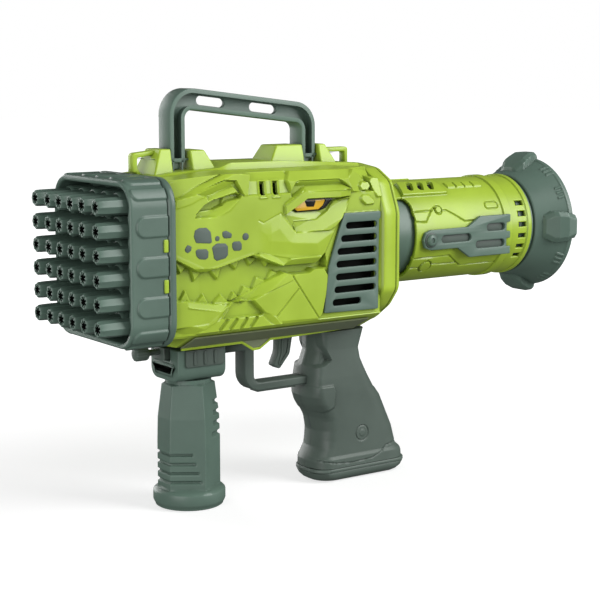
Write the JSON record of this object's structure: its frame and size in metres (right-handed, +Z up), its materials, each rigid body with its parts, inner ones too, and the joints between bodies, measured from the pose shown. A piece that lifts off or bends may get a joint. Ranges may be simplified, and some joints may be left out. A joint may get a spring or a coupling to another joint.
{
  "type": "bubble machine",
  "caption": "Battery bubble blaster with a block of nozzle tubes, a tube body with a flared rear bell, carry handle, trigger grip and front grip.",
  "frame": {"origin": "middle of the bounding box's footprint, on the surface that the two grips stand on", "axes": "+X runs back from the nozzle tips to the bell, +Y is the toy's right side seen by the person who holds it, +Z is up"},
  "size_m": [0.334, 0.09, 0.2333],
  "materials": {
    "green_plastic": "lime green ABS with a fine semi-gloss grain",
    "grey_plastic": "grey-green ABS, satin",
    "dark_grey_plastic": "darker grey-green ABS, satin",
    "amber_plastic": "amber printed plastic, glossy",
    "white_plastic": "natural white ABS or acetal",
    "black_plastic": "black phenolic",
    "circuit_board": "green solder mask",
    "motor_can": "bright plated can",
    "steel": "nickel-plated steel",
    "battery_cell": "plain dark shrink sleeve",
    "red_wire": "red PVC insulation",
    "black_wire": "black PVC insulation"
  },
  "bodies": {
    "root": {"body_shell_left": "green_plastic", "body_shell_right": "green_plastic", "barrel_shell_left": "green_plastic", "barrel_shell_right": "green_plastic", "nozzle_block": "grey_plastic", "head_shroud": "grey_plastic", "vent_panel_left": "grey_plastic", "vent_panel_right": "grey_plastic", "barrel_ring": "grey_plastic", "bell": "grey_plastic", "link_plate_left": "grey_plastic", "link_plate_right": "grey_plastic", "link_bolt_left": "grey_plastic", "link_bolt_right": "grey_plastic", "carry_handle": "grey_plastic", "clamp_block": "grey_plastic", "front_grip": "grey_plastic", "grip_base_cap": "grey_plastic", "lower_trim_left": "dark_grey_plastic", "lower_trim_right": "dark_grey_plastic", "guard_rail": "dark_grey_plastic", "clamp_plate_left": "dark_grey_plastic", "clamp_plate_right": "dark_grey_plastic", "rear_grip_left": "dark_grey_plastic", "rear_grip_right": "dark_grey_plastic", "eye_left": "amber_plastic", "eye_right": "amber_plastic", "air_duct": "white_plastic", "motor_bracket": "white_plastic", "trigger_frame": "white_plastic", "switch_block": "black_plastic", "circuit_board": "circuit_board", "fan_motor": "motor_can", "bracket_screw_1": "steel", "bracket_screw_2": "steel", "trigger_pin": "steel", "trigger_spring": "steel", "handle_screw_front": "steel", "handle_screw_rear": "steel", "grip_bolt": "steel", "grip_screw_1": "steel", "grip_screw_2": "steel", "grip_screw_3": "steel", "battery_contact_top": "steel", "shell_screw_1": "steel", "shell_screw_2": "steel", "shell_screw_3": "steel", "shell_screw_4": "steel", "battery_cell_front": "battery_cell", "battery_cell_middle": "battery_cell", "battery_cell_rear": "battery_cell", "motor_lead_red": "red_wire", "motor_lead_black": "black_wire"},
    "fan": {"fan_impeller": "white_plastic", "motor_shaft": "steel"},
    "trigger": {"trigger": "dark_grey_plastic", "contact_bridge": "steel"},
    "battery_cover": {"battery_cover": "dark_grey_plastic", "battery_contact_bottom": "steel"},
    "thumb_screw": {"thumb_screw": "dark_grey_plastic"}
  },
  "joints": [
    {"name": "fan_spin", "type": "hinge", "parent": "root", "child": "fan", "pos_m": [-0.089, 0, 0.143], "axis": [1, 0, 0], "continuous": true},
    {"name": "trigger_pull", "type": "hinge", "parent": "root", "child": "trigger", "pos_m": [-0.027, 0, 0.099], "axis": [0, -1, 0], "range_deg": [0, 14], "stiffness_Nm_per_rad": 0.12, "springref_deg": -11.46, "deforming": ["trigger_spring"]},
    {"name": "battery_cover_slide", "type": "slide", "parent": "root", "child": "battery_cover", "axis": [0, 0, -1], "range_m": [0, 0.03]},
    {"name": "thumb_screw_turn", "type": "hinge", "parent": "root", "child": "thumb_screw", "pos_m": [-0.1205, 0, 0.089], "axis": [1, 0, 0], "range_deg": [0, 270]}
  ]
}
